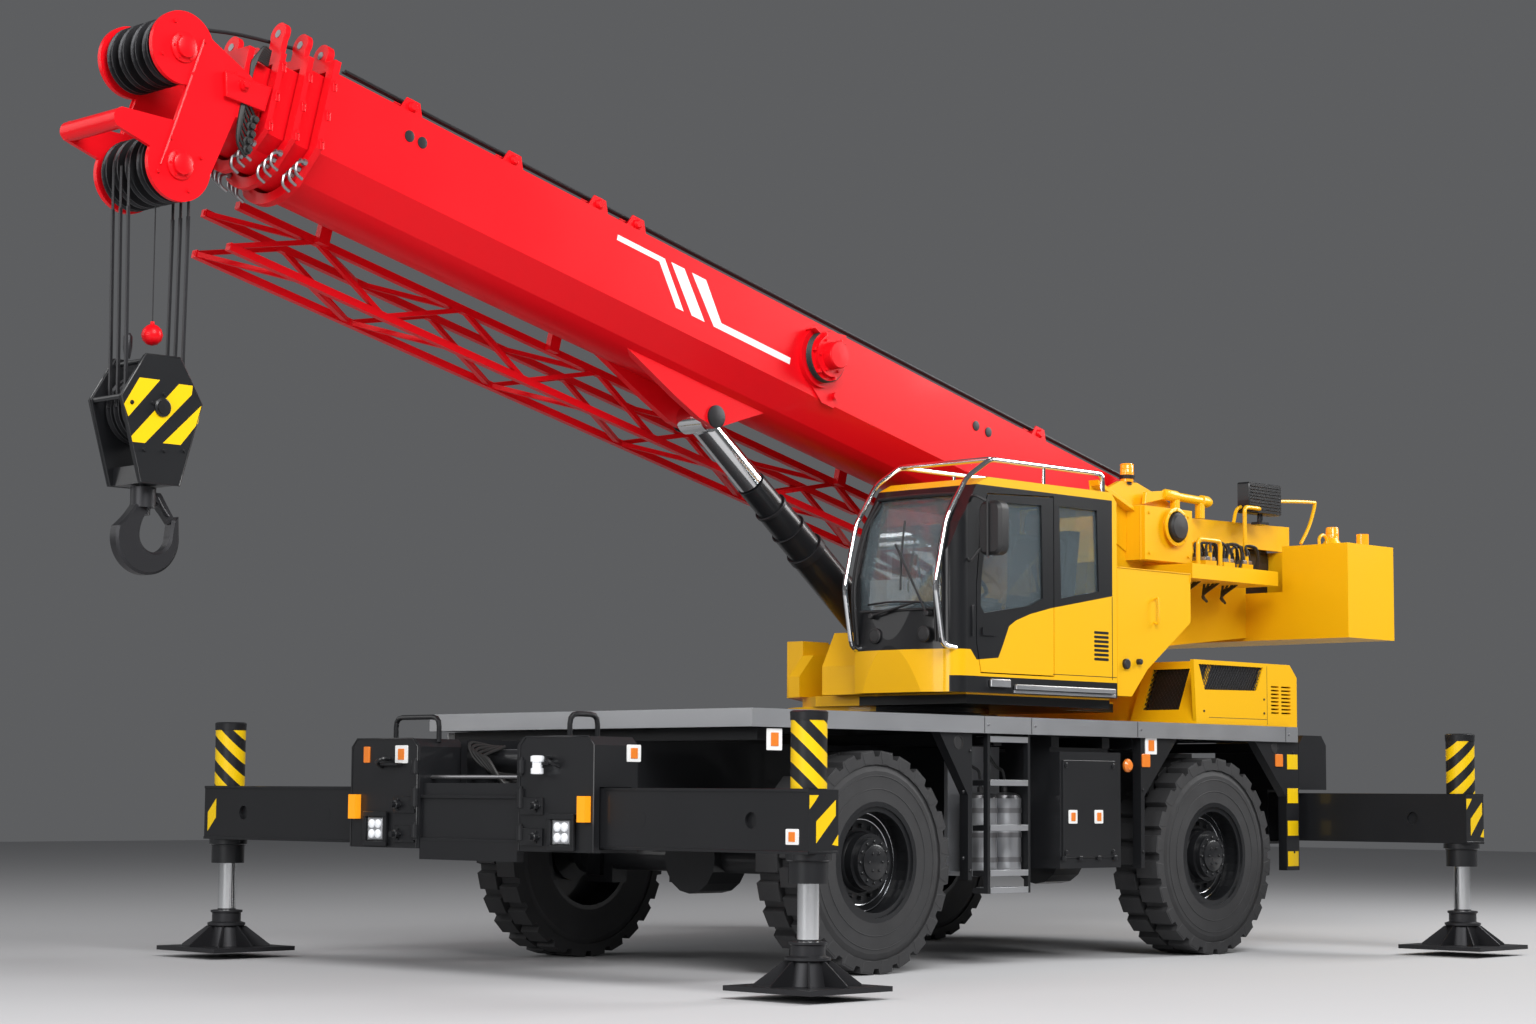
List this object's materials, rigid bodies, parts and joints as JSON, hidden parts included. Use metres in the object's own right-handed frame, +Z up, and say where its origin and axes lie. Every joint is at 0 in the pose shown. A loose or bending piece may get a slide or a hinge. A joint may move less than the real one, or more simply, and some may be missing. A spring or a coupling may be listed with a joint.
{
  "type": "mobile crane",
  "caption": "Mobile crane with telescopic boom on a steered carrier, with outriggers, slewing cab, lift cylinder, stowed lattice jib and hook block.",
  "frame": {"origin": "on the ground under the middle of the whole machine's length and width", "axes": "+X forward along the carrier towards the boom's head, +Y to the left, +Z up"},
  "size_m": [10.9099, 5.954, 5.4489],
  "materials": {
    "black_paint": "satin",
    "deck_plate": "satin",
    "silver_trim": "satin",
    "yellow_paint": "gloss",
    "engine_metal": "rough",
    "clear_lamp": "gloss",
    "amber_lamp": "gloss",
    "tyre_rubber": "matt",
    "float_steel": "satin",
    "cab_glass": "gloss",
    "seat_cloth": "matt",
    "rail_chrome": "polished",
    "black_plastic": "matt",
    "red_paint": "gloss",
    "sheave_iron": "satin",
    "hook_iron": "satin",
    "cylinder_black": "gloss",
    "rod_chrome": "polished"
  },
  "bodies": {
    "carrier": {"chassis_frame": "black_paint", "front_bumper": "black_paint", "deck": "deck_plate", "deck_edge": "silver_trim", "axles": "black_paint", "engine_hood": "yellow_paint", "engine": "engine_metal", "side_gear": "black_paint", "ladders": "silver_trim", "air_tanks": "silver_trim", "rear_lockers": "black_paint", "work_lamps": "clear_lamp", "amber_lamps": "amber_lamp"},
    "knuckle_fl": {"knuckle_fl": "black_paint"},
    "wheel_fl": {"tyre_fl": "tyre_rubber", "rim_fl": "black_paint"},
    "beam_fl": {"beam_fl": "black_paint"},
    "float_fl": {"float_fl": "float_steel"},
    "knuckle_fr": {"knuckle_fr": "black_paint"},
    "wheel_fr": {"tyre_fr": "tyre_rubber", "rim_fr": "black_paint"},
    "beam_fr": {"beam_fr": "black_paint"},
    "float_fr": {"float_fr": "float_steel"},
    "knuckle_rl": {"knuckle_rl": "black_paint"},
    "wheel_rl": {"tyre_rl": "tyre_rubber", "rim_rl": "black_paint"},
    "beam_rl": {"beam_rl": "black_paint"},
    "float_rl": {"float_rl": "float_steel"},
    "knuckle_rr": {"knuckle_rr": "black_paint"},
    "wheel_rr": {"tyre_rr": "tyre_rubber", "rim_rr": "black_paint"},
    "beam_rr": {"beam_rr": "black_paint"},
    "float_rr": {"float_rr": "float_steel"},
    "superstructure": {"turntable": "yellow_paint", "counterweight": "yellow_paint", "winches": "black_paint", "housings": "yellow_paint", "beacons": "amber_lamp", "cab_shell": "yellow_paint", "cab_glass": "cab_glass", "cab_seat": "seat_cloth", "cab_rails": "rail_chrome", "mirror": "black_plastic"},
    "door": {"cab_door": "yellow_paint", "door_glass": "cab_glass"},
    "boom": {"boom_base": "red_paint", "stowed_jib": "red_paint", "cable_reel": "red_paint", "lift_rod": "rod_chrome"},
    "tele_1": {"tele_1": "red_paint"},
    "tele_2": {"tele_2": "red_paint"},
    "head": {"boom_head": "red_paint", "head_sheaves": "sheave_iron"},
    "block": {"hook_block": "black_paint", "hoist_falls": "sheave_iron"},
    "hook": {"hook": "hook_iron"},
    "lift_barrel": {"lift_barrel": "cylinder_black"},
    "lift_stage_1": {"lift_stage_1": "cylinder_black"},
    "lift_stage_2": {"lift_stage_2": "cylinder_black"},
    "lift_stage_3": {"lift_stage_3": "cylinder_black"}
  },
  "joints": [
    {"name": "steer_fl", "type": "hinge", "parent": "carrier", "child": "knuckle_fl", "pos_m": [0.65, 1.01, 0.685], "axis": [0, 0, 1], "range_deg": [-25, 25]},
    {"name": "roll_fl", "type": "hinge", "parent": "knuckle_fl", "child": "wheel_fl", "pos_m": [0.65, 1.2995, 0.685], "axis": [0, 1, 0], "continuous": true},
    {"name": "beam_out_fl", "type": "slide", "parent": "carrier", "child": "beam_fl", "axis": [0, 1, 0], "range_m": [-0.46, 0.35]},
    {"name": "jack_up_fl", "type": "slide", "parent": "beam_fl", "child": "float_fl", "axis": [0, 0, 1], "range_m": [-0.3, 0.3]},
    {"name": "steer_fr", "type": "hinge", "parent": "carrier", "child": "knuckle_fr", "pos_m": [0.65, -1.01, 0.685], "axis": [0, 0, 1], "range_deg": [-25, 25]},
    {"name": "roll_fr", "type": "hinge", "parent": "knuckle_fr", "child": "wheel_fr", "pos_m": [0.65, -1.2995, 0.685], "axis": [0, 1, 0], "continuous": true},
    {"name": "beam_out_fr", "type": "slide", "parent": "carrier", "child": "beam_fr", "axis": [0, -1, 0], "range_m": [-0.46, 0.35]},
    {"name": "jack_up_fr", "type": "slide", "parent": "beam_fr", "child": "float_fr", "axis": [0, 0, 1], "range_m": [-0.3, 0.3]},
    {"name": "steer_rl", "type": "hinge", "parent": "carrier", "child": "knuckle_rl", "pos_m": [-2.898, 1.01, 0.685], "axis": [0, 0, 1], "range_deg": [-25, 25]},
    {"name": "roll_rl", "type": "hinge", "parent": "knuckle_rl", "child": "wheel_rl", "pos_m": [-2.898, 1.2995, 0.685], "axis": [0, 1, 0], "continuous": true},
    {"name": "beam_out_rl", "type": "slide", "parent": "carrier", "child": "beam_rl", "axis": [0, 1, 0], "range_m": [-0.46, 0.35]},
    {"name": "jack_up_rl", "type": "slide", "parent": "beam_rl", "child": "float_rl", "axis": [0, 0, 1], "range_m": [-0.3, 0.3]},
    {"name": "steer_rr", "type": "hinge", "parent": "carrier", "child": "knuckle_rr", "pos_m": [-2.898, -1.01, 0.685], "axis": [0, 0, 1], "range_deg": [-25, 25]},
    {"name": "roll_rr", "type": "hinge", "parent": "knuckle_rr", "child": "wheel_rr", "pos_m": [-2.898, -1.2995, 0.685], "axis": [0, 1, 0], "continuous": true},
    {"name": "beam_out_rr", "type": "slide", "parent": "carrier", "child": "beam_rr", "axis": [0, -1, 0], "range_m": [-0.46, 0.35]},
    {"name": "jack_up_rr", "type": "slide", "parent": "beam_rr", "child": "float_rr", "axis": [0, 0, 1], "range_m": [-0.3, 0.3]},
    {"name": "slew", "type": "hinge", "parent": "carrier", "child": "superstructure", "pos_m": [-1.124, 0, 1.65], "axis": [0, 0, 1], "continuous": true},
    {"name": "door_swing", "type": "hinge", "parent": "superstructure", "child": "door", "pos_m": [-1.189, 1.42, 2.4], "axis": [0, 0, 1], "range_deg": [0, 100]},
    {"name": "luff", "type": "hinge", "parent": "superstructure", "child": "boom", "pos_m": [-3.624, 0, 3.1], "axis": [0, -1, 0], "range_deg": [-13.3, 66.7]},
    {"name": "tele_1_out", "type": "slide", "parent": "boom", "child": "tele_1", "axis": [0.9732, 0, 0.23], "range_m": [0, 6]},
    {"name": "tele_2_out", "type": "slide", "parent": "tele_1", "child": "tele_2", "axis": [0.9732, 0, 0.23], "range_m": [0, 6]},
    {"name": "head_out", "type": "slide", "parent": "tele_2", "child": "head", "axis": [0.9732, 0, 0.23], "range_m": [0, 6]},
    {"name": "block_hang", "type": "hinge", "parent": "head", "child": "block", "pos_m": [5.02478, 0, 4.51356], "axis": [0, 1, 0], "range_deg": [-14, 67]},
    {"name": "hook_swivel", "type": "hinge", "parent": "block", "child": "hook", "pos_m": [5.02478, 0, 2.75], "axis": [0, 0, 1], "continuous": true},
    {"name": "lift_swing", "type": "hinge", "parent": "superstructure", "child": "lift_barrel", "pos_m": [-1.364, 0, 1.902], "axis": [0, -1, 0], "range_deg": [-13, 62]},
    {"name": "lift_stage_1_out", "type": "slide", "parent": "lift_barrel", "child": "lift_stage_1", "axis": [0.7903, 0, 0.6128], "range_m": [-0.19, 0.94]},
    {"name": "lift_stage_2_out", "type": "slide", "parent": "lift_stage_1", "child": "lift_stage_2", "axis": [0.7903, 0, 0.6128], "range_m": [-0.19, 0.94]},
    {"name": "lift_stage_3_out", "type": "slide", "parent": "lift_stage_2", "child": "lift_stage_3", "axis": [0.7903, 0, 0.6128], "range_m": [-0.19, 0.94]}
  ],
  "couplings": [
    {"joint": "steer_fr", "follows": "steer_fl", "ratio": 1},
    {"joint": "steer_rr", "follows": "steer_rl", "ratio": 1},
    {"joint": "tele_2_out", "follows": "tele_1_out", "ratio": 1},
    {"joint": "head_out", "follows": "tele_1_out", "ratio": 1},
    {"joint": "block_hang", "follows": "luff", "ratio": 1},
    {"joint": "lift_swing", "follows": "luff", "ratio": 0.922},
    {"joint": "lift_stage_1_out", "follows": "luff", "m_per_rad": 0.8},
    {"joint": "lift_stage_2_out", "follows": "luff", "m_per_rad": 0.8},
    {"joint": "lift_stage_3_out", "follows": "luff", "m_per_rad": 0.8}
  ]
}
